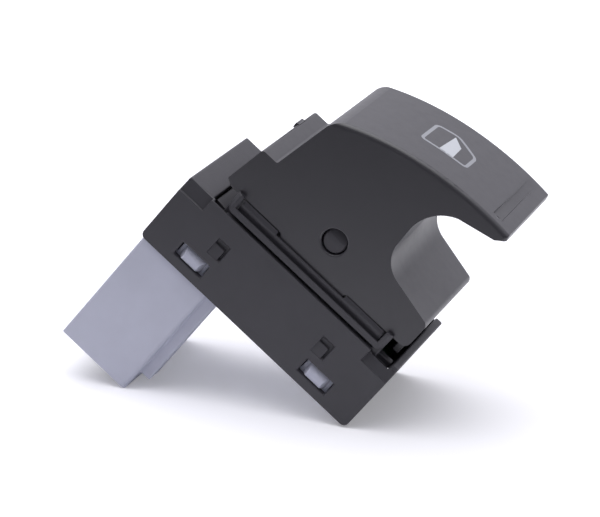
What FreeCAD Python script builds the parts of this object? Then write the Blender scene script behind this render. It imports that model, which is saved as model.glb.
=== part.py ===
import FreeCAD, Part
import math
import os
import Sketcher

# Window switch for a car door: a rocker button on a box-shaped housing, with a
# grey connector under the rear half.  Millimetres.  X runs from the rear of the
# housing to its front, where the finger lip is, Y runs across, Z points to the
# button.  The origin is the centre of the closed underside of the housing.

doc = FreeCAD.newDocument("WindowSwitch")
sheet = doc.addObject("Spreadsheet::Sheet", "Sizes")

SIZES = [
    # housing box
    ("box_length", 40.0), ("box_width", 25.0), ("box_height", 11.75), ("box_wall", 1.2),
    ("deck_depth", 4.5), ("deck_thick", 1.2), ("corner_front", 4.8), ("corner_low", 9.5),
    ("corner_step", 0.25), ("corner_inset", 0.95), ("corner_sunk", 0.6),
    ("foot_round", 0.9),
    ("well_start", 4.8), ("well_under", 0.6), ("well_wall", 0.4), ("well_deep", 2.4),
    ("window_end", 7.9), ("window_long", 5.2), ("window_low", 1.45), ("window_tall", 2.4),
    ("notch_end", 9.9), ("notch_long", 2.2), ("notch_low", 5.3), ("notch_tall", 3.0),
    ("notch_deep", 0.75), ("notch_slot", 0.4), ("notch_slope", 0.3), ("pad_tall", 1.9),
    ("pad_low", 0.06), ("pad_high", 0.3),
    # grey base and connector
    ("base_thick", 1.6), ("fit_gap", 0.15), ("plug_rear", 0.5), ("plug_long", 12.3),
    ("plug_side", 0.5), ("plug_deep", 20.4), ("plug_wall", 1.3), ("plug_floor", 1.5),
    ("guide_out", 1.8), ("guide_wide", 3.4), ("guide_edge", 1.6), ("guide_deep", 17.4),
    ("guide_slot", 0.8), ("plug_round", 0.6), ("plug_ease", 0.25),
    ("rib_tall", 0.8), ("rib_wide", 1.0), ("rib_edge", 2.0), ("rib_short", 0.4),
    ("latch_wide", 5.0), ("latch_thick", 1.05), ("latch_tall", 3.6), ("latch_out", 1.1),
    ("nose_wide", 3.7), ("nose_tall", 2.15), ("nose_lift", 0.1), ("nose_chip", 0.5),
    # terminals
    ("blade_edge", 2.4), ("blade_wide", 1.5), ("blade_thick", 0.8), ("blade_down", 12.0),
    ("blade_up", 4.6), ("blade_tip", 0.9), ("blade_gap", 0.05),
    # circuit board and what it carries
    ("board_end", 1.2), ("board_gap", 0.2), ("board_thick", 1.2),
    ("mat_long", 22.0), ("mat_gap", 1.275), ("mat_thick", 0.5),
    ("dome_reach", 8.0), ("dome_radius", 2.4), ("dome_tall", 1.6), ("dome_draft", 20.0),
    ("lamp_behind", 3.8), ("lamp_edge", 3.5), ("lamp_long", 2.0), ("lamp_wide", 1.25),
    ("lamp_tall", 0.8),
    ("chip_long", 2.0), ("chip_wide", 1.25), ("chip_tall", 0.6), ("chip_edge", 3.1),
    ("cap_tall", 1.2),
    # rocker carrier
    ("floor_low", 9.9), ("floor_thick", 1.2), ("dip_deep", 0.85), ("carrier_gap", 0.15), ("seam", 0.55),
    ("rail_rear_end", 6.6), ("rail_front_end", 3.7), ("rail_out", 0.15), ("lip_tall", 1.0),
    ("lip_wall", 0.2), ("gutter_up", 0.5), ("rail_round", 1.1), ("post_rear", 1.15),
    ("post_front", 1.15), ("post_corner", 0.6), ("post_top", 15.4), ("collar_gap", 0.1),
    ("collar_foot", 0.12), ("collar_wall", 0.35), ("collar_low", 14.3),
    ("collar_top", 15.0), ("collar_chamfer", 0.7), ("collar_rear_end", 8.0),
    ("collar_front_end", 5.05), ("collar_rear_reach", 6.75), ("collar_front_reach", 6.3),
    ("skirt_thick", 1.3), ("skirt_top", 12.5),
    ("pivot_x", 1.2), ("pivot_z", 19.5), ("pin_radius", 1.82), ("pin_short", 0.3),
    ("pin_bevel", 0.22),
    ("tower_gap", 0.3), ("tower_thick", 1.4), ("tower_foot", 7.2),
    ("tower_head", 3.4), ("leg_wide", 2.0), ("leg_end", 9.0), ("leg_edge", 1.3),
    ("ear_gap", 0.6), ("ear_thick", 1.3), ("ear_radius", 2.2),
    ("light_wide", 1.6), ("light_top", 28.0), ("light_draft", 0.5), ("light_gap", 0.2),
    # actuator
    ("lever_z", 8.0), ("lever_pin", 1.0), ("lever_gap", 1.2), ("lever_bore_gap", 0.05),
    ("fork_slot", 2.3), ("fork_top", 14.2), ("fork_floor", 11.4), ("fork_prong", 1.1),
    ("foot_half", 1.2), ("foot_gap", 0.1), ("arm_thick", 1.3),
    # button
    ("cheek_set", 1.1), ("button_wall", 1.5), ("hollow_down", 3.0), ("hole_gap", 0.12),
    ("rear_end", 4.0), ("rear_z", 15.4), ("ledge_end", 5.2), ("ledge_z", 22.3),
    ("ledge_deep", 2.7), ("ledge_round", 0.5), ("ledge_cove", 0.5), ("crown_end", 10.0),
    ("crown_z", 32.9), ("crown_ease", 2.0), ("crown_lift", 0.05), ("crest_z", 36.95),
    ("lip_end", 1.6), ("lip_z", 38.05), ("crown_radius", 46.0), ("crest_radius", 56.0),
    ("lip_thick", 0.9), ("lip_lean", 0.2), ("lip_corner", 0.7), ("chin_end", 2.05), ("chin_drop", 1.3),
    ("throat_end", 2.7), ("throat_drop", 1.85), ("under_end", 8.3), ("under_z", 34.85),
    ("arch_end", 12.2), ("arch_top", 28.4), ("arch_low", 25.6), ("arch_lean", 0.1),
    ("arch_upper_radius", 6.45), ("arch_lower_radius", 4.6),
    ("sill_end", 8.6), ("sill_z", 21.7), ("front_end", 1.35), ("sill_end_z", 20.15),
    ("nose_radius", 0.95), ("cheek_low", 15.0), ("cheek_corner", 1.2), ("cheek_drop", 0.25),
    ("belly_deep", 0.85), ("belly_front", 5.9), ("belly_rear", 6.0), ("belly_slope", 0.45),
    ("cheek_slope", 1.1), ("apron_low", 12.0), ("apron_gap", 1.85), ("apron_back", 0.4),
    ("apron_clear", 0.7), ("apron_side", 0.35),
    ("edge_round", 0.8),
    ("stub_place", 5.5), ("stub_wide", 2.6), ("stub_out", 0.45), ("stub_tall", 0.9),
    ("stub_down", 0.15),
    ("groove_end", 4.55), ("groove_wide", 1.6), ("groove_side", 2.1), ("groove_deep", 0.38),
    ("groove_ramp", 8.0), ("dimple_in", 0.8), ("dimple_radius", 0.5), ("dimple_deep", 1.1),
    ("groove_sink", 0.12),
    ("finger_web", 0.9), ("finger_neck", 0.5), ("finger_tip", 1.0), ("finger_z", 13.0),
    ("finger_waist", 2.4), ("finger_shoulder", 3.6), ("finger_side", 0.3),
    ("cross_rib", 1.2), ("cross_low", 29.0),
]


class Size:
    """A number with the expression that gives it, so that both stay the same."""

    def __init__(self, text, value):
        self.text = text
        self.value = float(value)

    def join(self, other, sign, value):
        other = size(other)
        return Size("(%s %s %s)" % (self.text, sign, other.text), value(self.value, other.value))

    def __add__(self, other):
        return self.join(other, "+", lambda a, b: a + b)

    def __radd__(self, other):
        return size(other) + self

    def __sub__(self, other):
        return self.join(other, "-", lambda a, b: a - b)

    def __rsub__(self, other):
        return size(other) - self

    def __mul__(self, other):
        return self.join(other, "*", lambda a, b: a * b)

    def __rmul__(self, other):
        return size(other) * self

    def __truediv__(self, other):
        return self.join(other, "/", lambda a, b: a / b)

    def __neg__(self):
        return Size("(0 - %s)" % self.text, -self.value)


def size(value):
    """A Size as it is, or a plain number as a Size."""
    if isinstance(value, Size):
        return value
    return Size(repr(float(value)), value)


class Names:
    """The driving dimensions by name."""


S = Names()
for row, (alias, value) in enumerate(SIZES, start=1):
    sheet.set("A%d" % row, alias)
    sheet.set("B%d" % row, str(value))
    sheet.setAlias("B%d" % row, alias)
    setattr(S, alias, Size("Sizes.%s" % alias, value))
doc.recompute()


def bind(target, prop, value):
    """Ties one property to an expression of the sheet."""
    target.setExpression(prop, size(value).text)


def new_body(name):
    body = doc.addObject("PartDesign::Body", name)
    body.Label = name
    return body


def sketch_on(body, name, plane, offset=0.0):
    """An empty sketch on one of the body's own planes, moved along its normal."""
    sketch = body.newObject("Sketcher::SketchObject", name)
    role = plane + "_Plane"
    face = [item for item in body.Origin.OriginFeatures if item.Role == role][0]
    sketch.AttachmentSupport = [(face, "")]
    sketch.MapMode = "FlatFace"
    if isinstance(offset, Size) or offset != 0.0:
        sketch.AttachmentOffset = FreeCAD.Placement(
            FreeCAD.Vector(0, 0, size(offset).value), FreeCAD.Rotation())
        bind(sketch, "AttachmentOffset.Base.z", offset)
    return sketch


def arc_between(start, end, radius, turn, large):
    """The arc from start to end that turns left (+1) or right (-1)."""
    across = end - start
    half = across.Length / 2.0
    rise = math.sqrt(max(radius * radius - half * half, 0.0))
    left = FreeCAD.Vector(-across.y, across.x, 0).normalize()
    side = turn if not large else -turn
    centre = (start + end) * 0.5 + left * (rise * side)
    first, last = (start, end) if turn > 0 else (end, start)
    angle_first = math.atan2(first.y - centre.y, first.x - centre.x)
    angle_last = math.atan2(last.y - centre.y, last.x - centre.x)
    if angle_last <= angle_first:
        angle_last += 2.0 * math.pi
    circle = Part.Circle(centre, FreeCAD.Vector(0, 0, 1), radius)
    return Part.ArcOfCircle(circle, angle_first, angle_last)


def add_loop(sketch, corners):
    """A closed loop.  A corner is (u, v), or (u, v, radius, turn) where an arc ends."""
    count = len(corners)
    spots = [FreeCAD.Vector(size(c[0]).value, size(c[1]).value, 0) for c in corners]
    pieces = []
    for index in range(count):
        after = (index + 1) % count
        corner = corners[after]
        if len(corner) > 2:
            large = len(corner) > 4 and corner[4]
            curve = arc_between(spots[index], spots[after], size(corner[2]).value, corner[3], large)
            piece = sketch.addGeometry(curve, False)
            ends = (1, 2) if corner[3] > 0 else (2, 1)
            number = sketch.addConstraint(
                Sketcher.Constraint("Radius", piece, size(corner[2]).value))
            bind(sketch, "Constraints[%d]" % number, corner[2])
        else:
            piece = sketch.addGeometry(Part.LineSegment(spots[index], spots[after]), False)
            ends = (1, 2)
        pieces.append((piece, ends))
    for index in range(count):
        piece, ends = pieces[index]
        following, following_ends = pieces[(index + 1) % count]
        sketch.addConstraint(
            Sketcher.Constraint("Coincident", piece, ends[1], following, following_ends[0]))
    for index in range(count):
        piece, ends = pieces[index]
        for kind, value in (("DistanceX", corners[index][0]), ("DistanceY", corners[index][1])):
            number = sketch.addConstraint(
                Sketcher.Constraint(kind, -1, 1, piece, ends[0], size(value).value))
            bind(sketch, "Constraints[%d]" % number, value)
    return sketch


def add_rect(sketch, u_low, u_high, v_low, v_high):
    return add_loop(sketch, [(u_low, v_low), (u_high, v_low), (u_high, v_high), (u_low, v_high)])


def add_circle(sketch, u, v, radius):
    centre = FreeCAD.Vector(size(u).value, size(v).value, 0)
    curve = Part.Circle(centre, FreeCAD.Vector(0, 0, 1), size(radius).value)
    piece = sketch.addGeometry(curve, False)
    for kind, value in (("DistanceX", u), ("DistanceY", v)):
        number = sketch.addConstraint(
            Sketcher.Constraint(kind, -1, 1, piece, 3, size(value).value))
        bind(sketch, "Constraints[%d]" % number, value)
    number = sketch.addConstraint(Sketcher.Constraint("Radius", piece, size(radius).value))
    bind(sketch, "Constraints[%d]" % number, radius)
    return sketch


def volume_of(body):
    return body.Shape.Volume if not body.Shape.isNull() else 0.0


def grow(body, kind, name, sketch, length, both, along, taper):
    """A pad or pocket of the sketch, on both sides of it or along its normal."""
    before = volume_of(body)
    feature = body.newObject("PartDesign::" + kind, name)
    feature.Profile = sketch
    feature.Length = size(length).value
    bind(feature, "Length", length)
    if both:
        feature.SideType = "Symmetric"
    elif kind == "Pad":
        feature.Reversed = not along
    else:
        feature.Reversed = along
    if taper is not None:
        feature.TaperAngle = size(taper).value
        bind(feature, "TaperAngle", taper)
    sketch.Visibility = False
    doc.recompute()
    change = volume_of(body) - before
    if (kind == "Pad" and change <= 1e-6) or (kind == "Pocket" and change >= -1e-6):
        raise RuntimeError("%s %s changes nothing" % (body.Label, name))
    return feature


def pad(body, name, sketch, length, both=False, along=True, taper=None):
    return grow(body, "Pad", name, sketch, length, both, along, taper)


def pocket(body, name, sketch, length, both=False, along=True, taper=None):
    return grow(body, "Pocket", name, sketch, length, both, along, taper)


def edges_where(shape, test):
    """Names of the edges whose middle and ends pass the test."""
    found = []
    for number, edge in enumerate(shape.Edges, start=1):
        middle = edge.valueAt((edge.FirstParameter + edge.LastParameter) / 2.0)
        if test(edge, middle):
            found.append("Edge%d" % number)
    return found


def dress(body, kind, name, amount, test):
    """A fillet or chamfer on the edges that pass the test."""
    base = body.Tip
    names = edges_where(base.Shape, test)
    if not names:
        raise RuntimeError("%s %s finds no edge" % (body.Label, name))
    feature = body.newObject("PartDesign::" + kind, name)
    feature.Base = (base, names)
    prop = "Radius" if kind == "Fillet" else "Size"
    setattr(feature, prop, size(amount).value)
    bind(feature, prop, amount)
    doc.recompute()
    return feature


px = S.pivot_x
half_long = S.box_length / 2
half_wide = S.box_width / 2
inner_x = half_long - S.box_wall
inner_y = half_wide - S.box_wall
sides = (-1, 1)
COS_15 = math.cos(math.radians(15.0))
SIN_15 = math.sin(math.radians(15.0))
board_low = S.base_thick + S.rib_tall
board_top = board_low + S.board_thick
board_x = inner_x - S.board_end
board_y = inner_y - S.fit_gap - S.latch_thick - S.board_gap
window_x = half_long - S.window_end
notch_x = half_long - S.notch_end
plug_y = half_wide - S.plug_side
blade_pitch = (board_y - S.blade_edge) * 2 / 3
rail_rear = half_long - S.rail_rear_end
rail_front = half_long - S.rail_front_end
plug_back = -half_long + S.plug_rear
plug_front = plug_back + S.plug_long
blade_x = (plug_back + plug_front) / 2

# Housing: a box open below and above, a deck across the rear, the four top
# corners cut back to a bevel, two windows and two snap notches in each side.
housing = new_body("housing")
outer = sketch_on(housing, "outer", "XY")
add_rect(outer, -half_long, half_long, -half_wide, half_wide)
pad(housing, "box", outer, S.box_height)


def foot_edge(edge, middle):
    ends = [vertex.Point for vertex in edge.Vertexes]
    return all(abs(end.z) < 1e-6 for end in ends) and abs(ends[0].x - ends[1].x) < 1e-6


def upright_edge(edge, middle):
    ends = [vertex.Point for vertex in edge.Vertexes]
    return abs(ends[0].x - ends[1].x) < 1e-6 and abs(ends[0].y - ends[1].y) < 1e-6


dress(housing, "Fillet", "foot_rounds", S.foot_round, foot_edge)
lower = sketch_on(housing, "lower_hollow", "XY")
add_rect(lower, -inner_x, inner_x, -inner_y, inner_y)
pocket(housing, "lower_room", lower, S.box_height - S.deck_thick)
upper = sketch_on(housing, "upper_hollow", "XY", S.box_height - S.deck_thick)
add_rect(upper, -half_long + S.deck_depth, inner_x, -inner_y, inner_y)
pocket(housing, "upper_room", upper, S.deck_thick)
bevel_runs = (
    ("rear", -half_long, S.deck_depth, S.box_height, half_wide - S.corner_inset * 0.99),
    ("front", half_long - S.corner_front, S.corner_front, S.box_height - S.corner_sunk,
     inner_y - S.fit_gap))
for end, place, run, high, bevel_in in bevel_runs:
    bevel = sketch_on(housing, "bevel_" + end, "YZ", place)
    for side in sides:
        add_loop(bevel, [
            (side * (half_wide + 1.0), S.corner_low),
            (side * (half_wide - S.corner_step), S.corner_low),
            (side * (half_wide - S.corner_inset), high), (side * bevel_in, high),
            (side * bevel_in, S.box_height + 1.0),
            (side * (half_wide + 1.0), S.box_height + 1.0)])
    pocket(housing, "bevels_" + end, bevel, run)
wells = sketch_on(housing, "well_outline", "XY", S.box_height)
for side in sides:
    add_rect(wells, -half_long + S.well_start, -rail_rear + S.well_under,
             side * (inner_y - S.box_wall), side * (half_wide - S.well_wall))
    add_rect(wells, rail_front - S.well_under, inner_x,
             side * (inner_y - S.box_wall), side * (half_wide - S.corner_inset))
pocket(housing, "wells", wells, S.well_deep, along=False)
windows = sketch_on(housing, "window_outline", "XZ")
for side in sides:
    add_rect(windows, side * window_x - S.window_long / 2, side * window_x + S.window_long / 2,
             S.window_low, S.window_low + S.window_tall)
pocket(housing, "windows", windows, S.box_width + 2.0, both=True)
notch_low = S.notch_low
notch_high = S.notch_low + S.notch_tall
notch_floor = half_wide - S.notch_deep
pad_high = S.notch_low + S.pad_tall
for end, end_name in ((-1, "rear"), (1, "front")):
    middle = end * notch_x
    cuts = (
        ("top", middle, S.notch_long, [
            (half_wide + 0.5, pad_high), (notch_floor, pad_high), (notch_floor, notch_high - S.notch_slope),
            (half_wide, notch_high), (half_wide + 0.5, notch_high)]),
        ("slot", middle + (S.notch_long - S.notch_slot) / 2, S.notch_slot, [
            (half_wide + 0.5, notch_low), (half_wide, notch_low), (notch_floor, notch_low + S.notch_slope),
            (notch_floor, pad_high + S.notch_slope), (half_wide + 0.5, pad_high + S.notch_slope)]),
        ("pad", middle - S.notch_slot / 2, S.notch_long - S.notch_slot, [
            (half_wide + 0.5, notch_low), (half_wide - S.pad_low, notch_low),
            (half_wide - S.pad_high, pad_high + S.notch_slope), (half_wide + 0.5, pad_high + S.notch_slope)]))
    for cut, place, run, corners in cuts:
        name = "notch_%s_%s" % (cut, end_name)
        notch = sketch_on(housing, name + "_outline", "YZ", place)
        for side in sides:
            add_loop(notch, [(side * u, v) for u, v in corners])
        pocket(housing, name, notch, run, both=True)

# Base: the grey floor of the housing with its connector shroud, the guide rail
# beside it, four latch tongues for the windows and two ribs under the board.
base = new_body("base")
floor_sketch = sketch_on(base, "floor_outline", "XY")
add_rect(floor_sketch, -inner_x + S.fit_gap, inner_x - S.fit_gap, -inner_y + S.fit_gap, inner_y - S.fit_gap)
pad(base, "floor", floor_sketch, S.base_thick)
shroud = sketch_on(base, "shroud_outline", "XY")
add_rect(shroud, plug_back, plug_front, -plug_y, plug_y)
pad(base, "shroud", shroud, S.plug_deep, along=False)


def plug_front_edge(edge, middle):
    return upright_edge(edge, middle) and middle.z < -1.0 and middle.x > plug_back.value + 1.0


def plug_back_edge(edge, middle):
    return upright_edge(edge, middle) and middle.z < -1.0 and middle.x < plug_back.value + 1.0


dress(base, "Fillet", "plug_front_rounds", S.plug_round, plug_front_edge)
dress(base, "Fillet", "plug_back_rounds", S.plug_ease, plug_back_edge)
rail = sketch_on(base, "guide_outline", "XY")
add_rect(rail, plug_front, plug_front + S.guide_out, -plug_y + S.guide_edge,
         -plug_y + S.guide_edge + S.guide_wide)
pad(base, "guide", rail, S.guide_deep, along=False)
socket = sketch_on(base, "socket_outline", "XY", -S.plug_deep)
add_rect(socket, plug_back + S.plug_wall, plug_front - S.plug_wall, -plug_y + S.plug_wall,
         plug_y - S.plug_wall)
pocket(base, "socket", socket, S.plug_deep - S.plug_floor)
slot = sketch_on(base, "guide_slot_outline", "XY", -S.guide_deep)
add_rect(slot, plug_front + S.guide_slot, plug_front + S.guide_out + 0.5,
         -plug_y + S.guide_edge + S.guide_slot * 1.5,
         -plug_y + S.guide_edge + S.guide_wide - S.guide_slot * 1.5)
pocket(base, "guide_slot", slot, S.guide_deep * 0.45)
ribs = sketch_on(base, "rib_outline", "XY", S.base_thick)
for side in sides:
    add_rect(ribs, side * (board_x - S.rib_edge) - S.rib_wide / 2,
             side * (board_x - S.rib_edge) + S.rib_wide / 2,
             -board_y + S.rib_short, board_y - S.rib_short)
pad(base, "ribs", ribs, S.rib_tall)
latch_face = inner_y - S.fit_gap
nose_low = S.window_low + S.nose_lift
nose_out = latch_face + S.latch_out
for end, end_name in ((-1, "rear"), (1, "front")):
    plate = sketch_on(base, "latch_outline_" + end_name, "YZ", end * window_x)
    nose = sketch_on(base, "nose_outline_" + end_name, "YZ", end * window_x)
    chips = sketch_on(base, "nose_chip_outline_" + end_name, "XY", nose_low)
    for side in sides:
        add_rect(plate, side * (latch_face - S.latch_thick), side * latch_face,
                 S.base_thick - S.fit_gap, S.base_thick + S.latch_tall)
        add_loop(nose, [
            (side * (latch_face - S.fit_gap), nose_low), (side * nose_out, nose_low),
            (side * nose_out, nose_low + S.nose_tall * 0.45),
            (side * latch_face, nose_low + S.nose_tall, S.nose_tall * 0.75, side),
            (side * (latch_face - S.fit_gap), nose_low + S.nose_tall)])
        for way in sides:
            tip = end * window_x + way * S.nose_wide / 2
            add_loop(chips, [
                (tip, side * (nose_out - S.nose_chip * 1.6)), (tip + way * 0.1, side * (nose_out + 0.1)),
                (tip - way * S.nose_chip, side * (nose_out + 0.1)),
                (tip - way * S.nose_chip, side * nose_out)])
    pad(base, "latches_" + end_name, plate, S.latch_wide, both=True)
    pad(base, "noses_" + end_name, nose, S.nose_wide, both=True)
    pocket(base, "nose_chips_" + end_name, chips, S.nose_tall + 0.1, along=True)
blade_rows = [-1.5, -0.5, 0.5, 1.5]
slots = sketch_on(base, "blade_slots_outline", "XY", S.base_thick)
for step in blade_rows:
    add_rect(slots, blade_x - S.blade_thick / 2 - S.blade_gap, blade_x + S.blade_thick / 2 + S.blade_gap,
             step * blade_pitch - S.blade_wide / 2 - S.blade_gap,
             step * blade_pitch + S.blade_wide / 2 + S.blade_gap)
pocket(base, "blade_slots", slots, S.base_thick + S.plug_floor + 0.5, along=False)

# Terminals: four flat blades that stand in the socket and end above the board.
terminals = []
for number, step in enumerate(blade_rows, start=1):
    blade = new_body("terminal_%d" % number)
    side_view = sketch_on(blade, "blade_outline", "YZ", blade_x)
    middle = step * blade_pitch
    low = -S.blade_down
    add_loop(side_view, [
        (middle - S.blade_wide / 2, S.blade_up), (middle - S.blade_wide / 2, low + S.blade_tip),
        (middle - S.blade_wide / 4, low), (middle + S.blade_wide / 4, low),
        (middle + S.blade_wide / 2, low + S.blade_tip), (middle + S.blade_wide / 2, S.blade_up)])
    pad(blade, "blade", side_view, S.blade_thick, both=True)
    terminals.append(blade)

# Circuit board with a slot for each blade.
board = new_body("circuit_board")
sheet_view = sketch_on(board, "board_outline", "XY", board_low)
add_rect(sheet_view, -board_x, board_x, -board_y, board_y)
for step in blade_rows:
    add_rect(sheet_view, blade_x - S.blade_thick / 2 - S.blade_gap, blade_x + S.blade_thick / 2 + S.blade_gap,
             step * blade_pitch - S.blade_wide / 2 - S.blade_gap,
             step * blade_pitch + S.blade_wide / 2 + S.blade_gap)
pad(board, "board", sheet_view, S.board_thick)

# Contact mat: a silicone sheet with a dome under each foot of the actuator.
mat = new_body("contact_mat")
mat_view = sketch_on(mat, "mat_outline", "XY", board_top)
lamp_y = board_y - S.lamp_edge
mat_y = lamp_y - S.lamp_wide / 2 - S.mat_gap
add_rect(mat_view, px - S.mat_long / 2, px + S.mat_long / 2, -mat_y, mat_y)
pad(mat, "web", mat_view, S.mat_thick)
domes = sketch_on(mat, "dome_outline", "XY", board_top + S.mat_thick)
for side in sides:
    add_circle(domes, S.pivot_x + side * S.dome_reach, 0.0, S.dome_radius)
pad(mat, "domes", domes, S.dome_tall, taper=-S.dome_draft)
dome_top = board_top + S.mat_thick + S.dome_tall


def chip(name, x, y, long, wide, tall):
    """A small part soldered flat on the board."""
    body = new_body(name)
    view = sketch_on(body, "chip_outline", "XY", board_top)
    add_rect(view, x - long / 2, x + long / 2, y - wide / 2, y + wide / 2)
    pad(body, "chip", view, tall)
    return body


arch_x = half_long - S.arch_end
lamp_x = arch_x - S.lamp_behind
chip_y = board_y - S.chip_edge
lamp = chip("lamp", lamp_x, lamp_y, S.lamp_long, S.lamp_wide, S.lamp_tall)
chips = []
for name, steps, side, tall in (
        ("resistor_1", -4.5, 1, S.chip_tall), ("resistor_2", -3.0, 1, S.chip_tall),
        ("resistor_3", -1.5, 1, S.chip_tall), ("capacitor", -3.0, -1, S.cap_tall),
        ("diode", 3.0, -1, S.chip_tall)):
    chips.append(chip(
        name, S.pivot_x + S.chip_long * steps, side * chip_y, S.chip_long, S.chip_wide, tall))

# Rocker carrier: a floor inside the housing, a rail along each side with raised
# ends and a trough for the button's cheek, two tower walls with the pivot pins,
# ears for the actuator and four legs that stand on the board.
carrier = new_body("rocker_carrier")
floor_top = S.floor_low + S.floor_thick
skirt_y = inner_y - S.carrier_gap
skirt_inner = skirt_y - S.skirt_thick
rail_low = S.box_height + S.seam
rail_y = half_wide - S.rail_out
cheek_y = half_wide - S.cheek_set
tower_outer = cheek_y - S.button_wall - S.tower_gap
plate = sketch_on(carrier, "floor_outline", "XY", S.floor_low)
add_rect(plate, -half_long + S.deck_depth + S.carrier_gap, inner_x - S.carrier_gap, -skirt_y, skirt_y)
pad(carrier, "floor", plate, S.floor_thick)
dips = sketch_on(carrier, "dip_outline", "XY", floor_top)
holes_rear = sketch_on(carrier, "rear_hole_outline", "XY", floor_top)
for side in sides:
    add_rect(holes_rear, -half_long + S.deck_depth, -rail_rear, side * (skirt_inner - S.fit_gap),
             side * inner_y)
    add_rect(dips, rail_front, inner_x, side * (skirt_inner - S.fit_gap), side * inner_y)
pocket(carrier, "dips", dips, S.dip_deep, along=False)
pocket(carrier, "rear_holes", holes_rear, S.floor_thick + 0.5, along=False)
apron_y = skirt_inner - S.apron_gap
apron_room = sketch_on(carrier, "apron_room_outline", "XY", floor_top)
add_rect(apron_room, rail_front - S.apron_clear, inner_x, -apron_y - S.apron_side, apron_y + S.apron_side)
pocket(carrier, "apron_room", apron_room, S.floor_thick + 0.5, along=False)
lip_top = rail_low + S.lip_tall
lip_in = rail_y - S.lip_wall
gutter = rail_low + S.gutter_up
collar_in = cheek_y + S.collar_gap
collar_foot = collar_in + S.collar_foot
collar_out = collar_in + S.collar_wall
rail_view = sketch_on(carrier, "rail_outline", "YZ", -rail_rear)
for side in sides:
    add_loop(rail_view, [
        (side * skirt_inner, S.floor_low), (side * skirt_y, S.floor_low), (side * skirt_y, rail_low),
        (side * rail_y, rail_low), (side * rail_y, lip_top), (side * lip_in, lip_top),
        (side * lip_in, gutter), (side * collar_in, gutter), (side * collar_in, S.skirt_top),
        (side * skirt_inner, S.skirt_top)])
pad(carrier, "rails", rail_view, rail_rear + rail_front)
collars = (
    ("rear", px - S.collar_rear_reach, -half_long + S.collar_rear_end),
    ("front", px + S.collar_front_reach, half_long - S.collar_front_end))
for end_name, near, far in collars:
    run = near - far if end_name == "rear" else far - near
    collar = sketch_on(carrier, "collar_outline_" + end_name, "YZ", (near + far) / 2)
    for side in sides:
        add_loop(collar, [
            (side * collar_in, S.skirt_top), (side * collar_foot, S.skirt_top), (side * collar_foot, lip_top),
            (side * collar_out, S.collar_top - S.collar_chamfer), (side * collar_in, S.collar_top)])
    pad(carrier, "collars_" + end_name, collar, run, both=True)
low_collar = sketch_on(carrier, "low_collar_outline", "YZ", px - S.collar_rear_reach)
for side in sides:
    add_loop(low_collar, [
        (side * collar_in, S.skirt_top), (side * collar_foot, S.skirt_top), (side * collar_foot, lip_top),
        (side * collar_out, S.collar_low - S.collar_chamfer * 0.4), (side * collar_out, S.collar_low),
        (side * collar_in, S.collar_low)])
pad(carrier, "low_collars", low_collar, S.collar_rear_reach + S.collar_front_reach)
for end_name, middle, run in (
        ("rear", -rail_rear + S.post_rear / 2, S.post_rear),
        ("front", rail_front - S.post_front / 2, S.post_front)):
    post = sketch_on(carrier, "post_outline_" + end_name, "YZ", middle)
    for side in sides:
        add_rect(post, side * collar_in, side * rail_y, rail_low, S.post_top)
    pad(carrier, "posts_" + end_name, post, run, both=True)
outside = (rail_y + skirt_y) / 2
round_off = S.rail_round
for side, hand in ((-1, "left"), (1, "right")):
    ends = sketch_on(carrier, "rail_end_outline_" + hand, "XZ", -side * outside)
    for way, end_x in ((-1, -rail_rear), (1, rail_front)):
        add_loop(ends, [
            (end_x + way * 0.4, rail_low + round_off), (end_x + way * 0.4, rail_low - 0.2),
            (end_x - way * round_off, rail_low - 0.2), (end_x - way * round_off, rail_low),
            (end_x, rail_low + round_off, round_off, way)])
    pocket(carrier, "rail_ends_" + hand, ends, rail_y - skirt_y, both=True)
post_corners = sketch_on(carrier, "post_corner_outline", "XY", rail_low - 0.2)
cut_y = rail_y - S.post_corner
for side in sides:
    for way, end_x in ((-1, -rail_rear), (1, rail_front)):
        cut_x = end_x - way * S.post_corner
        add_loop(post_corners, [
            (cut_x, side * rail_y), (cut_x, side * (rail_y + 0.3)), (end_x + way * 0.3, side * (rail_y + 0.3)),
            (end_x + way * 0.3, side * cut_y), (end_x, side * cut_y)])
pocket(carrier, "post_corners", post_corners, S.post_top - rail_low + 1.0, along=True)
tower = sketch_on(carrier, "tower_outline", "XZ")
add_loop(tower, [
    (S.pivot_x - S.tower_foot, floor_top - 0.2), (S.pivot_x + S.tower_foot, floor_top - 0.2),
    (S.pivot_x + S.tower_head * COS_15, S.pivot_z + S.tower_head * SIN_15),
    (S.pivot_x - S.tower_head * COS_15, S.pivot_z + S.tower_head * SIN_15, S.tower_head, 1)])
pad(carrier, "towers", tower, tower_outer * 2, both=True)
pins = sketch_on(carrier, "pin_outline", "XZ")
add_circle(pins, S.pivot_x, S.pivot_z, S.pin_radius)
pad(carrier, "pins", pins, (cheek_y - S.pin_short) * 2, both=True)
pin_end = (cheek_y - S.pin_short).value


def pin_rim(edge, middle):
    return edge.Closed and abs(abs(middle.y) - pin_end) < 1e-6


dress(carrier, "Chamfer", "pin_bevels", S.pin_bevel, pin_rim)
between = sketch_on(carrier, "between_towers", "XZ")
add_rect(between, S.pivot_x - S.tower_foot - 1.0, S.pivot_x + S.tower_foot + 1.0, floor_top,
         S.pivot_z + S.tower_head + 1.0)
pocket(carrier, "tower_room", between, (tower_outer - S.tower_thick) * 2, both=True)
ear_outer = lamp_y - S.light_wide / 2 - S.ear_gap
ear_inner = ear_outer - S.ear_thick
lever_y = ear_inner - S.lever_gap
ears = sketch_on(carrier, "ear_outline", "XZ")
add_loop(ears, [
    (S.pivot_x + S.ear_radius, S.floor_low + 0.2), (S.pivot_x - S.ear_radius, S.floor_low + 0.2),
    (S.pivot_x - S.ear_radius * COS_15, S.lever_z - S.ear_radius * SIN_15),
    (S.pivot_x + S.ear_radius * COS_15, S.lever_z - S.ear_radius * SIN_15, S.ear_radius, 1)])
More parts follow.
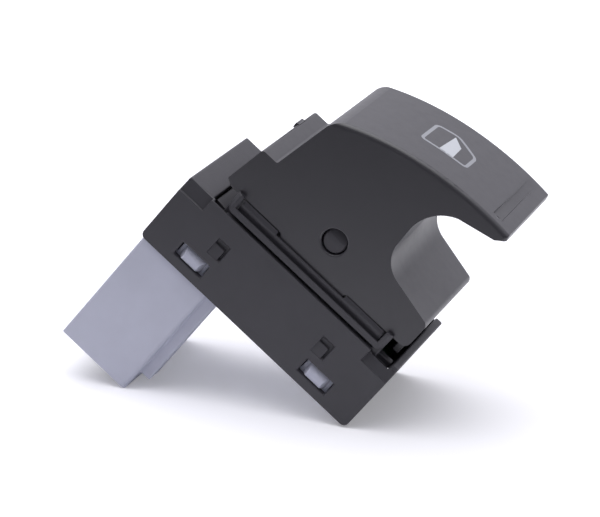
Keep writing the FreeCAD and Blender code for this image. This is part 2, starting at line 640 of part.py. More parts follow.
pad(carrier, "ears", ears, ear_outer * 2, both=True)
ear_room = sketch_on(carrier, "ear_room_outline", "XZ")
add_rect(ear_room, S.pivot_x - S.ear_radius - 1.0, S.pivot_x + S.ear_radius + 1.0,
         S.lever_z - S.ear_radius - 1.0, S.floor_low)
pocket(carrier, "ear_room", ear_room, ear_inner * 2, both=True)
ear_bore = sketch_on(carrier, "ear_bore_outline", "XZ")
add_circle(ear_bore, S.pivot_x, S.lever_z, S.lever_pin + S.lever_bore_gap)
pocket(carrier, "ear_bores", ear_bore, ear_outer * 2 + 1.0, both=True)
floor_holes = sketch_on(carrier, "floor_holes_outline", "XY", floor_top)
add_rect(floor_holes, S.pivot_x - S.fork_slot * 1.5, S.pivot_x + S.fork_slot * 1.5,
         -lever_y - 0.5, lever_y + 0.5)
add_rect(floor_holes, lamp_x - S.light_wide / 2 - S.light_gap, lamp_x + S.light_wide / 2 + S.light_gap,
         lamp_y - S.light_wide / 2 - S.light_gap, lamp_y + S.light_wide / 2 + S.light_gap)
pocket(carrier, "floor_holes", floor_holes, S.floor_thick + 1.0, along=False)
leg_x = half_long - S.leg_end
leg_y = board_y - S.leg_edge
legs = sketch_on(carrier, "leg_outline", "XY", board_top)
for end in sides:
    for side in sides:
        add_rect(legs, end * leg_x - S.leg_wide / 2, end * leg_x + S.leg_wide / 2,
                 side * leg_y - S.leg_wide / 2, side * leg_y + S.leg_wide / 2)
pad(carrier, "legs", legs, S.floor_low - board_top)
ramp = sketch_on(carrier, "pin_ramp_outline", "YZ", S.pivot_x)
for side in sides:
    add_loop(ramp, [
        (side * (cheek_y + 0.5), S.pivot_z + S.pin_radius * 0.3),
        (side * (cheek_y - S.pin_short), S.pivot_z + S.pin_radius * 0.3),
        (side * (cheek_y - S.pin_short - S.button_wall * 0.5), S.pivot_z + S.pin_radius + 0.2),
        (side * (cheek_y + 0.5), S.pivot_z + S.pin_radius + 0.2)])
pocket(carrier, "pin_ramps", ramp, S.pin_radius * 2 + 1.0, both=True)

# Light guide: a clear prism from the lamp to the inside of the button.
light = new_body("light_guide")
light_view = sketch_on(light, "light_outline", "XY", board_top + S.lamp_tall + S.light_gap)
add_rect(light_view, lamp_x - S.light_wide / 2, lamp_x + S.light_wide / 2,
         lamp_y - S.light_wide / 2, lamp_y + S.light_wide / 2)
pad(light, "prism", light_view, S.light_top - board_top - S.lamp_tall - S.light_gap, taper=-S.light_draft)

# Actuator: a lever with two feet over the domes and a fork for the finger.
actuator = new_body("actuator")
lever = sketch_on(actuator, "lever_outline", "XZ")
foot_low = dome_top + S.foot_gap
arm_low = S.lever_z - S.arm_thick
reach = S.dome_reach
prong = S.fork_slot / 2 + S.fork_prong
add_loop(lever, [
    (px - reach - S.foot_half, foot_low), (px - reach + S.foot_half, foot_low),
    (px - reach + S.foot_half, arm_low), (px + reach - S.foot_half, arm_low),
    (px + reach - S.foot_half, foot_low), (px + reach + S.foot_half, foot_low),
    (px + reach + S.foot_half, S.lever_z), (px + prong, S.lever_z + S.arm_thick),
    (px + prong, S.fork_top), (px + S.fork_slot / 2, S.fork_top),
    (px + S.fork_slot / 2, S.fork_floor), (px - S.fork_slot / 2, S.fork_floor),
    (px - S.fork_slot / 2, S.fork_top), (px - prong, S.fork_top),
    (px - prong, S.lever_z + S.arm_thick), (px - reach - S.foot_half, S.lever_z)])
pad(actuator, "lever", lever, lever_y * 2, both=True)
lever_pins = sketch_on(actuator, "lever_pin_outline", "XZ")
add_circle(lever_pins, px, S.lever_z, S.lever_pin)
pad(actuator, "lever_pins", lever_pins, ear_outer * 2 - 0.2, both=True)

# Button: one profile right across, hollow from below, with the finger recess
# under the lip, holes for the pivot pins and a drive finger for the fork.
button = new_body("button")
rear_x = -half_long + S.rear_end
ledge_x = -half_long + S.ledge_end
crown_x = -half_long + S.crown_end
lip_x = half_long - S.lip_end
under_x = half_long - S.under_end
sill_x = half_long - S.sill_end
front_x = half_long - S.front_end
view = sketch_on(button, "profile", "XZ")
add_loop(view, [
    (rear_x, S.rear_z), (ledge_x - S.ledge_round * 0.17, S.ledge_z - S.ledge_round),
    (ledge_x + S.ledge_round, S.ledge_z, S.ledge_round, -1),
    (ledge_x + S.ledge_deep - S.ledge_cove, S.ledge_z),
    (ledge_x + S.ledge_deep + S.ledge_cove * 0.26, S.ledge_z + S.ledge_cove, S.ledge_cove, 1),
    (crown_x, S.crown_z),
    (px, S.crest_z, S.crown_radius, -1),
    (lip_x, S.lip_z, S.crest_radius, -1), (lip_x + S.lip_lean, S.lip_z - S.lip_thick),
    (half_long - S.chin_end, S.lip_z - S.chin_drop), (half_long - S.throat_end, S.lip_z - S.throat_drop),
    (under_x, S.under_z), (arch_x, S.arch_top, S.arch_upper_radius, 1),
    (arch_x + S.arch_lean, S.arch_low), (sill_x, S.sill_z, S.arch_lower_radius, 1),
    (front_x - S.nose_radius * 0.9, S.sill_end_z),
    (front_x, S.sill_end_z - S.nose_radius, S.nose_radius, -1),
    (front_x, S.cheek_low + S.cheek_corner),
    (front_x - S.cheek_corner, S.cheek_low, S.cheek_corner, -1),
    (px + S.belly_front + S.belly_slope, S.cheek_low - S.cheek_drop),
    (px + S.belly_front, S.cheek_low - S.cheek_drop - S.belly_deep),
    (px - S.belly_rear, S.cheek_low - S.cheek_drop - S.belly_deep),
    (px - S.belly_rear - S.belly_slope, S.cheek_low - S.cheek_drop),
    (rear_x + S.cheek_slope, S.cheek_low - S.cheek_drop)])
pad(button, "shell", view, cheek_y * 2, both=True)
wall = S.button_wall
hollow = sketch_on(button, "hollow_outline", "XZ")
add_loop(hollow, [
    (rear_x + wall * 0.9, S.cheek_low - S.hollow_down), (rear_x + wall * 1.1, S.rear_z),
    (ledge_x + wall, S.ledge_z - wall), (ledge_x + S.ledge_deep + wall * 0.8, S.ledge_z - wall),
    (crown_x + wall, S.crown_z - wall * 0.65),
    (px, S.crest_z - wall, S.crown_radius - wall, -1),
    (arch_x - wall * 1.1, S.crest_z - wall * 0.7, S.crest_radius - wall, -1),
    (arch_x - wall, S.arch_top), (arch_x + S.arch_lean - wall, S.arch_low),
    (sill_x - wall * 0.3, S.sill_z - wall, S.arch_lower_radius + wall, 1),
    (front_x - wall, S.sill_end_z - wall), (front_x - wall, S.cheek_low - S.hollow_down)])
pocket(button, "hollow", hollow, (cheek_y - wall) * 2, both=True)
apron = sketch_on(button, "apron_outline", "XZ")
add_rect(apron, front_x - wall, front_x - S.apron_back, S.apron_low,
         S.cheek_low + S.cheek_corner * 1.5)
pad(button, "apron", apron, apron_y * 2, both=True)
holes = sketch_on(button, "pivot_hole_outline", "XZ")
add_circle(holes, S.pivot_x, S.pivot_z, S.pin_radius + S.hole_gap)
pocket(button, "pivot_holes", holes, cheek_y * 2 + 2.0, both=True)
finger = sketch_on(button, "finger_outline", "XZ")
neck_z = S.finger_z + S.finger_tip * 0.866
add_loop(finger, [
    (px - S.finger_web, S.crest_z - wall * 0.6), (px - S.finger_web, S.finger_z + S.finger_shoulder),
    (px - S.finger_neck, S.finger_z + S.finger_waist), (px - S.finger_neck, neck_z),
    (px + S.finger_neck, neck_z, S.finger_tip, 1, True),
    (px + S.finger_neck, S.finger_z + S.finger_waist),
    (px + S.finger_web, S.finger_z + S.finger_shoulder), (px + S.finger_web, S.crest_z - wall * 0.6)])
pad(button, "finger", finger, (lever_y - S.finger_side) * 2, both=True)
cross = sketch_on(button, "cross_rib_outline", "XZ")
add_rect(cross, px - S.cross_rib / 2, px + S.cross_rib / 2, S.cross_low, S.crest_z - wall * 0.6)
pad(button, "cross_rib", cross, cheek_y * 2 - wall, both=True)
stub = sketch_on(button, "gate_stub_outline", "XY", S.ledge_z - S.stub_down)
add_rect(stub, ledge_x - S.stub_out, ledge_x + wall / 2, S.stub_place - S.stub_wide / 2,
         S.stub_place + S.stub_wide / 2)
pad(button, "gate_stub", stub, S.stub_tall, along=False)
groove_x = half_long - S.groove_end
groove_z = S.lip_z + S.groove_sink
groove_y = cheek_y - S.groove_side
groove = sketch_on(button, "groove_outline", "YZ", groove_x)
add_loop(groove, [
    (-groove_y, groove_z + 0.6), (-groove_y + S.groove_deep * 0.8, groove_z - S.groove_deep),
    (groove_y - S.groove_ramp, groove_z - S.groove_deep), (groove_y, groove_z + 0.1),
    (groove_y, groove_z + 0.6)])
pocket(button, "groove", groove, S.groove_wide, both=True)
dimple = sketch_on(button, "dimple_outline", "XY", S.lip_z + 0.6)
add_circle(dimple, groove_x, S.dimple_in - groove_y, S.dimple_radius)
pocket(button, "dimple", dimple, S.dimple_deep + 0.6, along=False)
flank = cheek_y.value
high = S.crown_z.value - 0.05


def long_top_edge(edge, middle):
    ends = [vertex.Point for vertex in edge.Vertexes]
    on_side = all(abs(abs(point.y) - flank) < 1e-4 for point in ends)
    behind_lip = max(point.x for point in ends) < lip_x.value + 0.05
    over_hollow = min(point.x for point in ends) < arch_x.value
    on_top = min(point.z for point in ends) > high and edge.Length > 3.0
    return on_side and behind_lip and over_hollow and on_top


dress(button, "Fillet", "top_rounds", S.edge_round, long_top_edge)
crown_corner = sketch_on(button, "crown_corner_outline", "XZ")
add_loop(crown_corner, [
    (crown_x - S.crown_ease * 0.191 - S.crown_lift, S.crown_z - S.crown_ease * 0.982),
    (crown_x + S.crown_ease * 0.94, S.crown_z + S.crown_ease * 0.459 + S.crown_lift,
     S.crown_ease * 2.01, -1),
    (crown_x + S.crown_ease * 0.8, S.crown_z + S.crown_ease * 1.1),
    (crown_x - S.crown_ease * 0.5, S.crown_z + S.crown_ease * 0.5),
    (crown_x - S.crown_ease * 0.7, S.crown_z - S.crown_ease * 0.982)])
pocket(button, "crown_corner", crown_corner, cheek_y * 2 + 1.0, both=True)
lip_corners = sketch_on(button, "lip_corner_outline", "XY", S.lip_z + 0.6)
tip_x = lip_x + S.lip_lean
for side in sides:
    add_loop(lip_corners, [
        (tip_x - S.lip_corner, side * (cheek_y + 0.3)), (tip_x - S.lip_corner, side * cheek_y),
        (tip_x, side * (cheek_y - S.lip_corner), S.lip_corner, -side),
        (tip_x + 0.4, side * (cheek_y - S.lip_corner)), (tip_x + 0.4, side * (cheek_y + 0.3))])
pocket(button, "lip_corners", lip_corners, S.lip_corner * 5, along=False)

pieces = [housing, base] + terminals + [board, mat, lamp] + chips + [carrier, light, actuator, button]
doc.recompute()
faulty = [item.Name for item in doc.Objects if any(word in item.State for word in ("Invalid", "Error"))]
if faulty:
    raise RuntimeError("failed: " + ", ".join(faulty))
for piece in pieces:
    shape = piece.Shape
    if shape.isNull() or not shape.isValid() or len(shape.Solids) != 1:
        raise RuntimeError("bad shape: %s valid %s solids %s" % (
            piece.Label, shape.isValid(), [round(solid.Volume, 2) for solid in shape.Solids]))

os.makedirs("parts", exist_ok=True)
for piece in pieces:
    piece.Shape.exportStep("parts/%s.step" % piece.Label)
    box = piece.Shape.BoundBox
    print("%-16s %9.2f mm3  x %.2f %.2f  y %.2f %.2f  z %.2f %.2f" % (
        piece.Label, piece.Shape.Volume, box.XMin, box.XMax, box.YMin, box.YMax, box.ZMin, box.ZMax))
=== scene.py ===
import math

import bmesh
import bpy
from mathutils import Matrix, Vector
from mathutils.bvhtree import BVHTree


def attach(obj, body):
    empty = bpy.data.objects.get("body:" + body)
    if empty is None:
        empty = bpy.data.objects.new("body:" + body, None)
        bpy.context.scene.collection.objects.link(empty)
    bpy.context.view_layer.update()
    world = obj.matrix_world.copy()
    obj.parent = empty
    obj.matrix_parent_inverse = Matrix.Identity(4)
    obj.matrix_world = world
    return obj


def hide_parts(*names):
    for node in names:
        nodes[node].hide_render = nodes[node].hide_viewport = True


# Looks of a car window switch: black moulded housing and button, grey connector,
# a pale door-and-window symbol on the crown.  It lies tipped on the front edges
# of the housing and of the connector, as in the photograph.

MM = 0.001

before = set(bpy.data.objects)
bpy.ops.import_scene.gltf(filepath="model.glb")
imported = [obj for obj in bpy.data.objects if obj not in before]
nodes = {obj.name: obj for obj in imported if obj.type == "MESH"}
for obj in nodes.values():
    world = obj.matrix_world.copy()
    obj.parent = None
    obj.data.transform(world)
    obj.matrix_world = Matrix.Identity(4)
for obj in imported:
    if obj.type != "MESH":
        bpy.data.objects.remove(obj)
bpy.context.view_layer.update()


# Colours and shader nodes

def linear(code):
    """An sRGB hex colour as linear red, green, blue and alpha."""
    values = [int(code[at:at + 2], 16) / 255.0 for at in (1, 3, 5)]
    return [v / 12.92 if v <= 0.04045 else ((v + 0.055) / 1.055) ** 2.4 for v in values] + [1.0]


def scaled(colour, factor):
    """A linear colour made lighter or darker."""
    return [min(1.0, part * factor) for part in colour[:3]] + [1.0]


def cleared(owner):
    """The node tree of a material or of the world, switched on and empty."""
    owner.use_nodes = True
    owner.node_tree.nodes.clear()
    return owner.node_tree


def add(tree, kind, settings=None, inputs=None):
    """A shader node with its settings, and each input set or linked, by name or by number."""
    made = tree.nodes.new("ShaderNode" + kind)
    for name, value in (settings or {}).items():
        setattr(made, name, value)
    for name, value in (inputs or {}).items():
        if isinstance(value, bpy.types.NodeSocket):
            tree.links.new(value, made.inputs[name])
        else:
            made.inputs[name].default_value = value
    return made


# Plastics, metal and ceramics

FLOW_MM = 5.0          # lumps of the mottling that the melt's flow leaves
SHEEN_MM = 1.6         # patches of more and of less sheen
SHEEN_SPREAD = 0.02    # how far the roughness leaves its mean in them
GRAIN_STRENGTH = 0.6
LUMPS = {"From Min": 0.3, "From Max": 0.7}    # the range in which nearly all noise lies


def moulded(name, colour, rough, specular, grain_mm, depth_mm, mottle):
    """Moulded plastic: a fine eroded grain, faint flow mottling and an uneven sheen."""
    material = bpy.data.materials.new(name)
    tree = cleared(material)
    place = add(tree, "TexCoord").outputs["Object"]
    flow, patches, grain = (
        add(tree, "TexNoise", inputs={
            "Vector": place, "Scale": 1.0 / (size_mm * MM), "Detail": 3.0, "Roughness": jagged})
        for size_mm, jagged in ((FLOW_MM, 0.55), (SHEEN_MM, 0.55), (grain_mm, 0.65)))
    cloud = add(tree, "MapRange", inputs={"Value": flow.outputs["Fac"], **LUMPS})
    mean = linear(colour)
    tone = add(tree, "Mix", {"data_type": "RGBA"}, {
        0: cloud.outputs["Result"], 6: scaled(mean, 1.0 - mottle), 7: scaled(mean, 1.0 + mottle)})
    sheen = add(tree, "MapRange", inputs={
        "Value": patches.outputs["Fac"], **LUMPS,
        "To Min": rough - SHEEN_SPREAD, "To Max": rough + SHEEN_SPREAD})
    bump = add(tree, "Bump", inputs={
        "Height": grain.outputs["Fac"], "Strength": GRAIN_STRENGTH, "Distance": depth_mm * MM})
    shader = add(tree, "BsdfPrincipled", inputs={
        "Base Color": tone.outputs[2], "Roughness": sheen.outputs["Result"],
        "Specular IOR Level": specular, "Normal": bump.outputs["Normal"]})
    add(tree, "OutputMaterial", inputs={"Surface": shader.outputs["BSDF"]})
    return material


def plain(name, colour, rough, more=None):
    """One even colour and roughness, with more of the shader's values where they matter."""
    material = bpy.data.materials.new(name)
    tree = cleared(material)
    shader = add(tree, "BsdfPrincipled", inputs={
        "Base Color": linear(colour), "Roughness": rough, **(more or {})})
    add(tree, "OutputMaterial", inputs={"Surface": shader.outputs["BSDF"]})
    return material


# Black glass-filled PBT of the housing, spark-eroded grain: soft grey, never a clear highlight
housing_black = moulded(
    "black glass-filled PBT, spark-eroded", "#39383D", rough=0.52, specular=0.5,
    grain_mm=0.16, depth_mm=0.02, mottle=0.05)
# The carrier is the same PBT from a smoother tool: a little more sheen along its rails
carrier_black = moulded(
    "black glass-filled PBT, smooth", "#353439", rough=0.46, specular=0.5,
    grain_mm=0.22, depth_mm=0.01, mottle=0.04)
# Soft-feel coat on the button: an even satin grey on the crown, velvety dark cheeks
button_coat = moulded(
    "soft-feel coat on ABS, satin", "#2F2E33", rough=0.4, specular=0.68,
    grain_mm=0.1, depth_mm=0.002, mottle=0.02)
# Pale blue-grey PBT of the connector: dull, even, slightly milky
base_grey = moulded(
    "blue-grey PBT, smooth", "#BABCCA", rough=0.6, specular=0.35,
    grain_mm=0.25, depth_mm=0.01, mottle=0.03)
# Laser-cleared symbol over white plastic: a flat, slightly cool white
symbol_white = plain("white plastic, laser-cleared", "#BFC2C8", 0.6)
# Its outline is cleared less deeply: the coat's grey still shows in it
symbol_grey = plain("white plastic, thinly cleared", "#96989E", 0.6)
# Tin-plated brass blades: a soft grey metal
tin = plain("tinned brass, satin", "#C9C7C2", 0.34, {"Metallic": 1.0})
# Green solder mask over glass fibre: dark and glossy
mask_green = plain("green solder mask on glass fibre", "#1C4A2C", 0.32)
# Silicone contact mat: milky and dull, light soaks in
silicone = plain("milky silicone, matt", "#C4C4C0", 0.6, {
    "Subsurface Weight": 0.15, "Subsurface Scale": 0.6 * MM})
# Cast resin lamp: a clear yellowish drop
resin = plain("yellow cast resin, clear", "#EFE3B8", 0.12, {"Coat Weight": 0.5})
# Chip bodies: dark, sharp and matt
ceramic_black = plain("black ceramic, fired matt", "#242426", 0.55)
# Chip capacitor: tan ceramic
ceramic_tan = plain("tan ceramic, fired matt", "#A08360", 0.5)
# Acrylic light guide: clear with polished faces
acrylic = plain("clear acrylic, polished", "#F2F6F7", 0.03, {
    "Transmission Weight": 1.0, "IOR": 1.49})
# Natural acetal lever: warm white, waxy
acetal = plain("natural acetal, waxy", "#DAD9D0", 0.38, {
    "Subsurface Weight": 0.1, "Subsurface Scale": 0.8 * MM})


# Moulded skins: merged copies of the solids with rounded edges

MERGED = 0.002 * MM                   # corners of the triangles that are nearer become one
FLATTENED = math.radians(0.4)         # triangles that turn less from one another become one face
ROUNDED_FROM = math.radians(32.0)     # an edge that turns less keeps its shape
LEAST_WIDTH = 0.004 * MM              # an edge that could only be rounded by less stays sharp
ROUND_STEPS = 3
EDGE_TAKEN = 0.85                     # the share of an edge that the rounding at its ends may take
NARROWER = 0.8                        # each try makes the rounding that is too wide this much narrower
WIDTH_TRIES = 80
RUN_TRIES = 12
OPEN_CORNER = math.radians(150.0)     # a corner this open takes nothing of its edges' length
RUN_ON = math.radians(140.0)          # edges that meet at a wider angle run on from one another
SMOOTH_TO = math.radians(35.0)        # an edge that turns more is shaded sharp
SKIN_SMOOTH_TO = math.radians(38.0)   # the same for the rounded skins
ONE_FLAT = math.radians(0.3)          # faces that turn less from one another are one flat
BROAD = 3.0 * MM * MM                 # a flat of this area keeps its own shading
SLIVER = 1.0 * MM * MM                # a face of it that is smaller needs more care
BESIDE_FLAT = math.radians(20.0)      # an edge of a broad flat that turns more is shaded sharp
BESIDE_SLIVER = math.radians(5.0)     # the same for its slivers


def finish_mesh(name, work, material):
    """The bmesh as an object at the origin, smooth but for its sharp edges."""
    mesh = bpy.data.meshes.new(name)
    work.to_mesh(mesh)
    work.free()
    piece = bpy.data.objects.new(name, mesh)
    bpy.context.scene.collection.objects.link(piece)
    mesh.materials.append(material)
    mesh.shade_smooth()
    mesh.set_sharp_from_angle(angle=SMOOTH_TO)
    return piece


def step_in(beside, along, angle):
    """How far a corner moves along an edge when both its edges move into the face."""
    if angle > OPEN_CORNER:
        return 0.0
    return (beside + along * math.cos(angle)) / math.sin(angle)


def edge_widths(work, edges, most):
    """The width each edge can be rounded by before its neighbours meet."""
    wide = {edge: most for edge in edges}
    faces = [face for face in work.faces if any(edge in wide for edge in face.edges)]
    for attempt in range(WIDTH_TRIES):
        tight = set()
        for face in faces:
            for loop in face.loops:
                ahead = loop.link_loop_next
                three = (loop.link_loop_prev.edge, loop.edge, ahead.edge)
                rear, here, front = (wide.get(edge, 0.0) for edge in three)
                taken = (step_in(rear, here, loop.calc_angle())
                         + step_in(front, here, ahead.calc_angle()))
                if taken > EDGE_TAKEN * loop.edge.calc_length():
                    tight.update(edge for edge in three if edge in wide)
        if not tight:
            break
        for edge in tight:
            wide[edge] *= NARROWER
    # Edges that run on from one another take the width of the narrower
    for attempt in range(RUN_TRIES):
        for vert in work.verts:
            run = [edge for edge in vert.link_edges if edge in wide]
            if len(run) == 2:
                ways = [edge.other_vert(vert).co - vert.co for edge in run]
                if ways[0].angle(ways[1]) > RUN_ON:
                    wide[run[0]] = wide[run[1]] = min(wide[run[0]], wide[run[1]])
    return wide


def flat_areas(work):
    """For each face the area of the whole flat that it is a part of."""
    areas = {}
    for start in work.faces:
        if start in areas:
            continue
        flat, queue = {start}, [start]
        while queue:
            for edge in queue.pop().edges:
                if len(edge.link_faces) == 2 and edge.calc_face_angle() < ONE_FLAT:
                    fresh = [face for face in edge.link_faces if face not in flat]
                    flat.update(fresh)
                    queue += fresh
        total = sum(face.calc_area() for face in flat)
        areas.update((face, total) for face in flat)
    return areas


def keep_flats_flat(mesh):
    """Broad flats, and the slivers in them, keep their own shading beside rounded edges."""
    work = bmesh.new()
    work.from_mesh(mesh)
    areas = flat_areas(work)
    for edge in work.edges:
        broad = [face for face in edge.link_faces if areas[face] > BROAD]
        if len(edge.link_faces) == 2 and broad:
            sliver = min(face.calc_area() for face in broad) < SLIVER
            if edge.calc_face_angle() >= (BESIDE_SLIVER if sliver else BESIDE_FLAT):
                edge.smooth = False
    work.to_mesh(mesh)
    work.free()


def softened(node, name, width_mm, material):
    """A merged copy of a CAD node with its sharp edges rounded, as moulded."""
    widest = width_mm * MM
    work = bmesh.new()
    work.from_mesh(nodes[node].data)
    bmesh.ops.remove_doubles(work, verts=work.verts, dist=MERGED)
    bmesh.ops.dissolve_limit(work, angle_limit=FLATTENED, verts=work.verts, edges=work.edges)
    # A face that runs round a mouth or a notch is cut up, or it would close over the gap
    bmesh.ops.connect_verts_concave(work, faces=work.faces)
    share = work.edges.layers.float.new("bevel_weight_edge")
    edges = [edge for edge in work.edges
             if len(edge.link_faces) == 2 and edge.calc_face_angle() > ROUNDED_FROM]
    for edge, width in edge_widths(work, edges, widest).items():
        edge[share] = width / widest if width > LEAST_WIDTH else 0.0
    piece = finish_mesh(name, work, material)
    rounded = piece.modifiers.new("rounded_edges", "BEVEL")
    rounded.limit_method = "WEIGHT"
    rounded.width = widest
    rounded.segments = ROUND_STEPS
    rounded.use_clamp_overlap = False
    piece.data = bpy.data.meshes.new_from_object(
        piece.evaluated_get(bpy.context.evaluated_depsgraph_get()))
    piece.modifiers.remove(rounded)
    piece.data.shade_smooth()
    piece.data.set_sharp_from_angle(angle=SKIN_SMOOTH_TO)
    keep_flats_flat(piece.data)
    weighted = piece.modifiers.new("even_shading", "WEIGHTED_NORMAL")
    weighted.keep_sharp = True
    return piece


# Node, piece, widest rounding in mm, material and body
skins = (
    ("housing", "housing_skin", 0.28, housing_black, "housing"),
    ("base", "base_skin", 0.28, base_grey, "housing"),
    ("rocker_carrier", "carrier_skin", 0.22, carrier_black, "housing"),
    ("button", "button_skin", 0.25, button_coat, "button"),
    ("actuator", "actuator_skin", 0.1, acetal, "actuator"),
)
made = {}
for node, name, width, material, body in skins:
    made[node] = softened(node, name, width, material)
    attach(made[node], body)
    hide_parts(node)


# Inner pieces, shown as the solids they are

inner = {
    "circuit_board": mask_green, "contact_mat": silicone, "lamp": resin, "capacitor": ceramic_tan,
    "light_guide": acrylic, "diode": ceramic_black,
}
for number in range(1, 4):
    inner["resistor_%d" % number] = ceramic_black
for number in range(1, 5):
    inner["terminal_%d" % number] = tin
for name, material in inner.items():
    nodes[name].data.materials.clear()
    nodes[name].data.materials.append(material)


# Symbol: a car door in outline with its window half down, laid on the crown.  Places in mm

outline = [(0.05, -3.15), (0.2, 4.4), (3.6, 4.8), (7.5, 1.55), (7.4, -3.4)]
window = [(2.85, -3.15), (3.3, 4.0), (5.06, 1.43), (5.15, -3.3)]
corner_reach = 0.8           # how far the outline's corners are rounded
line_width = 0.52
point_gap = 0.35             # points are this close, so that the line follows the crown
print_height = 0.012
over_crown = 80.0            # from here the symbol's points drop onto the crown
pane_cells = (8, 22)


def rounded_path(corners, reach, steps=6):
    """A closed path through the corners, each turned into a short curve."""
    path = []
    count = len(corners)
    for index in range(count):
        before, here, after = (Vector(corners[(index + shift) % count]) for shift in (-1, 0, 1))
        back = (before - here).normalized() * reach
        ahead = (after - here).normalized() * reach
        for step in range(steps + 1):
            t = step / steps
            path.append(here + back * (1 - t) ** 2 + ahead * t ** 2)
    return path


def spaced(path, gap):
    """The closed path with extra points, so that none is farther than gap from the next."""
    dense = []
    for index, start in enumerate(path):
        end = path[(index + 1) % len(path)]
        steps = max(1, math.ceil((end - start).length / gap))
        dense += [start.lerp(end, step / steps) for step in range(steps)]
    return dense


def ribbon(work, path, width):
    """A closed band of the given width along the path, three points across."""
    sides = []
    for index in range(len(path)):
        along = path[(index + 1) % len(path)] - path[index - 1]
        sides.append(Vector((-along.y, along.x)).normalized())
    loops = []
    for share in (-0.5, 0.0, 0.5):
        row = [work.verts.new((point + side * width * share).to_3d())
               for point, side in zip(path, sides)]
        loops.append([work.edges.new((row[index - 1], row[index])) for index in range(len(row))])
    for near, far in zip(loops, loops[1:]):
        bmesh.ops.bridge_loops(work, edges=near + far)


def patch(work, corners, cells):
    """A grid stretched over the four corners."""
    a, b, c, d = (Vector(corner) for corner in corners)
    bmesh.ops.create_grid(work, x_segments=cells[0], y_segments=cells[1], size=1.0)
    for vert in work.verts:
        s, t = ((part + 1.0) / 2.0 for part in vert.co.xy)
        vert.co.xy = a.lerp(d, s).lerp(b.lerp(c, s), t)


button_mesh = bmesh.new()
button_mesh.from_mesh(made["button"].data)
crown = BVHTree.FromBMesh(button_mesh)
button_mesh.free()


def laid_on_crown(name, work, material):
    """The flat work dropped onto the crown, a print's thickness above it."""
    down = Vector((0, 0, -1))
    for vert in work.verts:
        start = Vector((vert.co.x, vert.co.y, over_crown)) * MM
        vert.co = crown.ray_cast(start, down)[0] - down * print_height * MM
    bmesh.ops.recalc_face_normals(work, faces=work.faces)
    piece = finish_mesh(name, work, material)
    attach(piece, "button")


lines = bmesh.new()
ribbon(lines, spaced(rounded_path(outline, corner_reach), point_gap), line_width)
laid_on_crown("window_symbol_outline", lines, symbol_grey)
pane = bmesh.new()
patch(pane, window, pane_cells)
laid_on_crown("window_symbol_pane", pane, symbol_white)


# Stage: a white table under the tipped part.  Its slope is in the switch's own axes

down_hill = Vector((0.8, 0.0, 0.6))
up = Vector((-0.6, 0.0, 0.8))
across = Vector((0.0, 1.0, 0.0))
middle = Vector((0.008, 0.0, 0.0))    # the table's middle lies under this point
table_gap = 0.01 * MM
table_half = 1.6

lowest = min(up.dot(vert.co) for node in ("housing", "base") for vert in made[node].data.vertices)
foot = middle + up * (lowest - up.dot(middle) - table_gap)
table = bmesh.new()
bmesh.ops.create_grid(table, x_segments=1, y_segments=1, size=table_half)
turn = Matrix((down_hill, across, up)).transposed().to_4x4()
bmesh.ops.transform(table, matrix=Matrix.Translation(foot) @ turn, verts=table.verts)


def mirrored(tree, rays):
    """1 for a ray that comes by way of a gloss or through a clear piece, else 0."""
    return add(tree, "Math", {"operation": "MAXIMUM"}, {
        0: rays.outputs["Is Glossy Ray"], 1: rays.outputs["Is Transmission Ray"]}).outputs[0]


floor_white = bpy.data.materials.new("white table laminate, matt")
tree = cleared(floor_white)
rays = add(tree, "LightPath")
by_eye = rays.outputs["Is Camera Ray"]
spot = add(tree, "TexCoord").outputs["Object"]
# Painted shade: its near side is darkened in its colour, standing in for the camera's shade, which
# only the reflections and the bounced light see
nearness = add(tree, "SeparateXYZ", inputs={"Vector": spot})
painted_shade = add(tree, "MapRange", inputs={
    "Value": nearness.outputs["Y"], "From Min": -0.13, "From Max": -0.05, "To Min": 0.12})
painted_shading = add(tree, "Math", {"operation": "MAXIMUM"}, {0: painted_shade.outputs["Result"], 1: by_eye})
tone = add(tree, "Mix", {"data_type": "RGBA"}, {
    0: painted_shading.outputs[0], 6: linear("#000000"), 7: linear("#F2F2F6")})
matt = add(tree, "BsdfDiffuse", inputs={"Color": tone.outputs[2]})
# The eye and the reflections see it a little lighter than the light alone makes it; in the reflections
# this glow also carries the painted shade of its near side
shown = add(tree, "Math", {"operation": "MAXIMUM"}, {0: by_eye, 1: mirrored(tree, rays)})
lightness = add(tree, "MapRange", inputs={"Value": painted_shading.outputs[0], "To Max": 0.2})
lift = add(tree, "Math", {"operation": "MULTIPLY"}, {
    0: shown.outputs[0], 1: lightness.outputs["Result"]})
# Far from the part the table is as white as the backdrop
distance = add(tree, "VectorMath", {"operation": "LENGTH"}, {0: spot})
far = add(tree, "MapRange", inputs={
    "Value": distance.outputs["Value"], "From Min": 0.12, "From Max": 0.3})
white = add(tree, "Math", {"operation": "MULTIPLY_ADD"}, {
    0: far.outputs["Result"], 1: by_eye, 2: lift.outputs[0]})
glow = add(tree, "Emission", inputs={"Strength": white.outputs[0]})
both = add(tree, "AddShader", inputs={0: matt.outputs[0], 1: glow.outputs[0]})
# From below the eye looks through it
clear = add(tree, "BsdfTransparent")
below = add(tree, "Math", {"operation": "MULTIPLY"}, {
    0: add(tree, "NewGeometry").outputs["Backfacing"], 1: by_eye})
sides = add(tree, "MixShader", inputs={0: below.outputs[0], 1: both.outputs[0], 2: clear.outputs[0]})
add(tree, "OutputMaterial", inputs={"Surface": sides.outputs[0]})
finish_mesh("table_top", table, floor_white)


# Room: a white backdrop beyond the part and darker behind the camera, as its reflections show

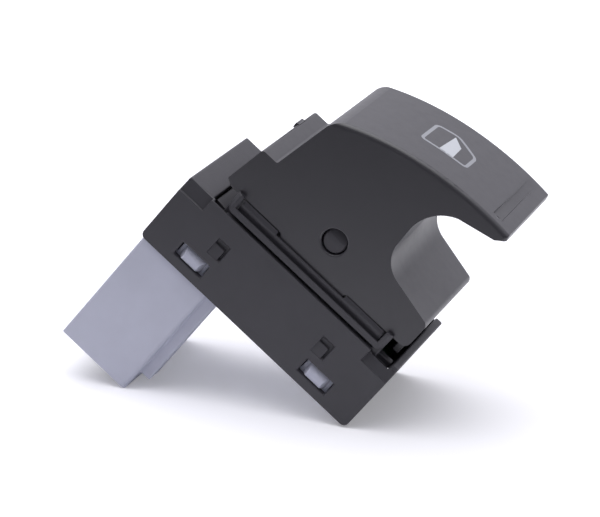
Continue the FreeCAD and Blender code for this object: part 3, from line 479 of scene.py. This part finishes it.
world = bpy.data.worlds.new("studio")
bpy.context.scene.world = world
tree = cleared(world)
rays = add(tree, "LightPath")
by_eye = rays.outputs["Is Camera Ray"]
heading = add(tree, "TexCoord").outputs["Generated"]
depth = add(tree, "SeparateXYZ", inputs={"Vector": heading})
backdrop = add(tree, "MapRange", inputs={
    "Value": depth.outputs["Y"], "From Min": -0.6, "From Max": 0.1, "To Min": 0.2, "To Max": 1.05})
# Bounced light comes from above, and less from the sides
height = add(tree, "VectorMath", {"operation": "DOT_PRODUCT"}, {0: heading, 1: up})
daylight = add(tree, "MapRange", inputs={
    "Value": height.outputs["Value"], "To Min": 0.16, "To Max": 0.85})
unseen = add(tree, "MapRange", inputs={
    "Value": mirrored(tree, rays), "To Min": daylight.outputs["Result"],
    "To Max": backdrop.outputs["Result"]})
level = add(tree, "MapRange", inputs={"Value": by_eye, "To Min": unseen.outputs["Result"]})
tint = add(tree, "Mix", {"data_type": "RGBA"}, {
    0: by_eye, 6: linear("#F6F5FF"), 7: linear("#FFFFFF")})
sky = add(tree, "Background", inputs={
    "Color": tint.outputs[2], "Strength": level.outputs["Result"]})
add(tree, "OutputWorld", inputs={"Surface": sky.outputs[0]})


# Softbox above the part

aim = Vector((0.0, 0.0, 10.0 * MM))
softbox_place = aim + up * 0.80 + across * 0.06 - down_hill * 0.10

lamp = bpy.data.lights.new("top_softbox", "AREA")
lamp.shape = "SQUARE"
lamp.size = 1.1
lamp.energy = 7.4
softbox = bpy.data.objects.new("top_softbox", lamp)
bpy.context.scene.collection.objects.link(softbox)
softbox.location = softbox_place
softbox.rotation_mode = "QUATERNION"
softbox.rotation_quaternion = (aim - softbox_place).to_track_quat("-Z", "Y")


# Camera, as the photograph was taken: its place and directions were fitted to the part's corners

camera_place = Vector((0.01875, -0.37307, 0.18456))
right = Vector((0.7268, 0.3247, 0.6053)).normalized()
forward = Vector((-0.0489, 0.9034, -0.4259)).normalized()
upward = right.cross(forward).normalized()
right = forward.cross(upward).normalized()

camera = bpy.data.cameras.new("camera")
camera.sensor_fit = "HORIZONTAL"
camera.sensor_width = 36.0
camera.lens = 170.95
camera.clip_start = 0.01
camera.clip_end = 10.0
holder = bpy.data.objects.new("camera", camera)
bpy.context.scene.collection.objects.link(holder)
holder.matrix_world = (Matrix.Translation(camera_place)
                       @ Matrix((right, upward, -forward)).transposed().to_4x4())
bpy.context.scene.camera = holder
bpy.context.scene.view_settings.view_transform = "Standard"
